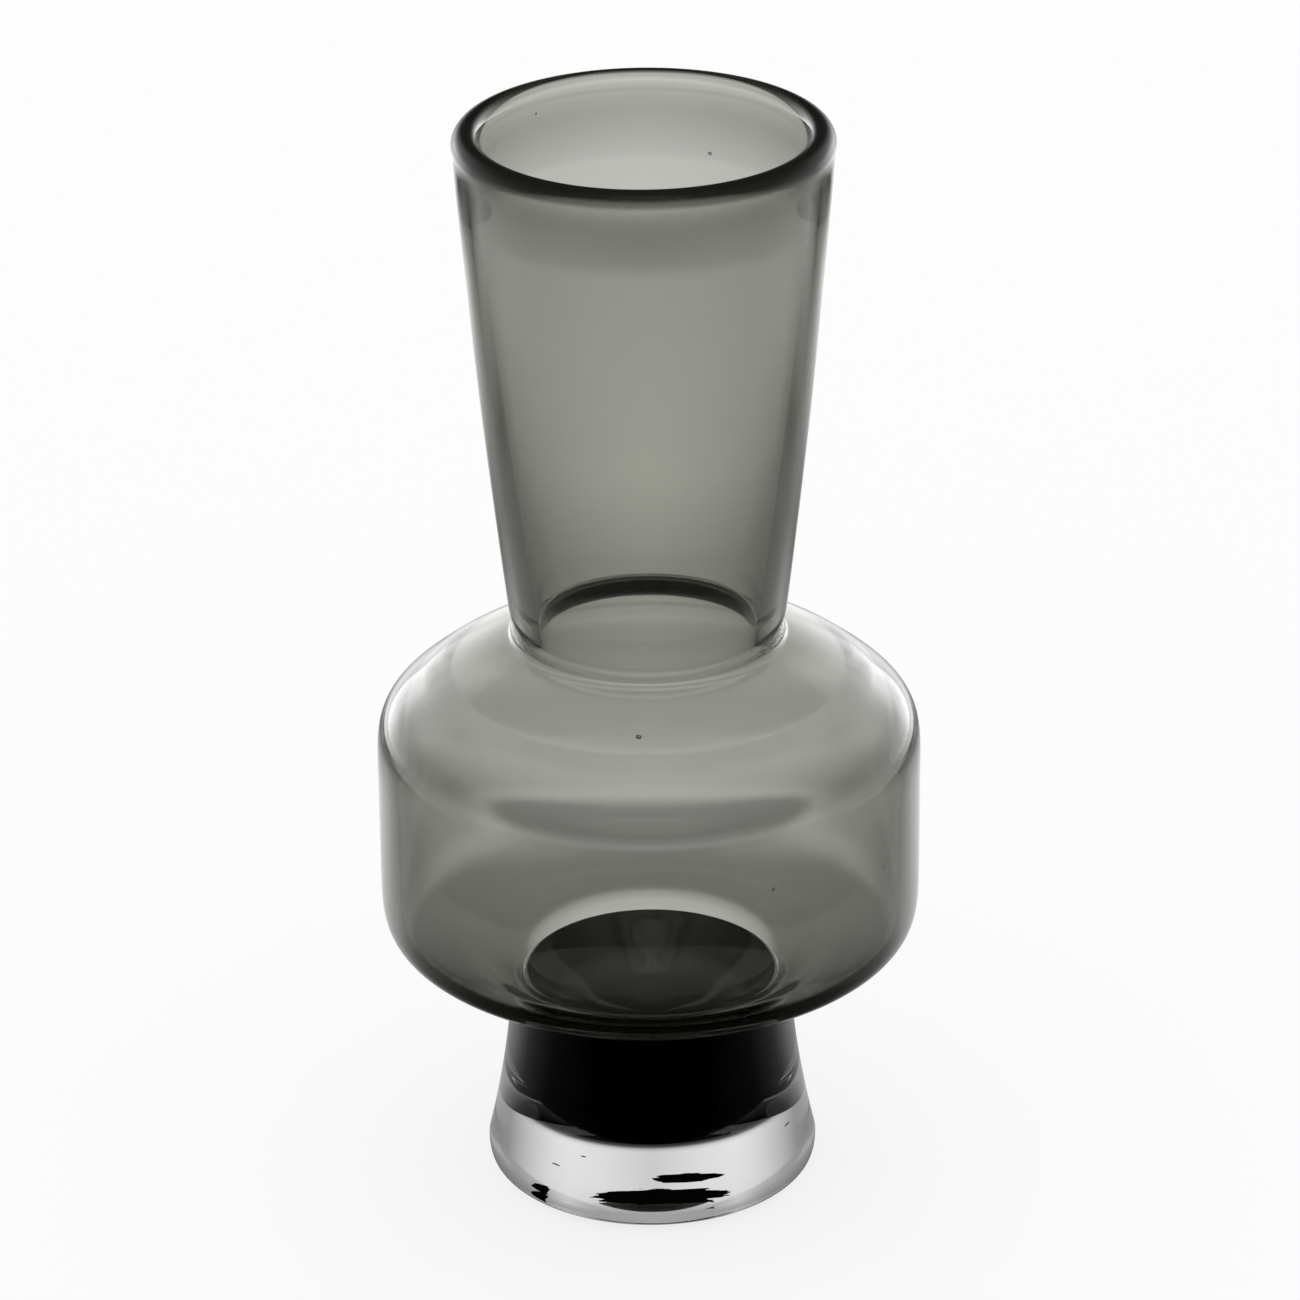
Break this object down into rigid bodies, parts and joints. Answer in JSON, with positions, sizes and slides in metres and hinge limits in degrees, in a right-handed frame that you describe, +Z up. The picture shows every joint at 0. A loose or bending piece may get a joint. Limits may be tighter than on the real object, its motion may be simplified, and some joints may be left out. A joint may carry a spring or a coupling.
{
  "type": "blown glass vase",
  "caption": "Tall blown glass flower vase: smoke-tinted vessel with flared neck, round-shouldered belly and bowl-shaped well, seated in a solid clear glass foot.",
  "frame": {"origin": "centre of the flat base on the table", "axes": "+Z up along the turning axis to the mouth, +Y away from the viewer of the picture"},
  "size_m": [0.1488, 0.1488, 0.307],
  "materials": {
    "smoke_glass": "fire-polished thick blown glass, smoke grey with a slight warm-green cast, a few seeds",
    "clear_glass": "clear fire-polished glass with faint draw lines, ground and polished flat underneath"
  },
  "bodies": {
    "root": {"smoke_vessel": "smoke_glass", "clear_foot": "clear_glass"}
  },
  "joints": []
}
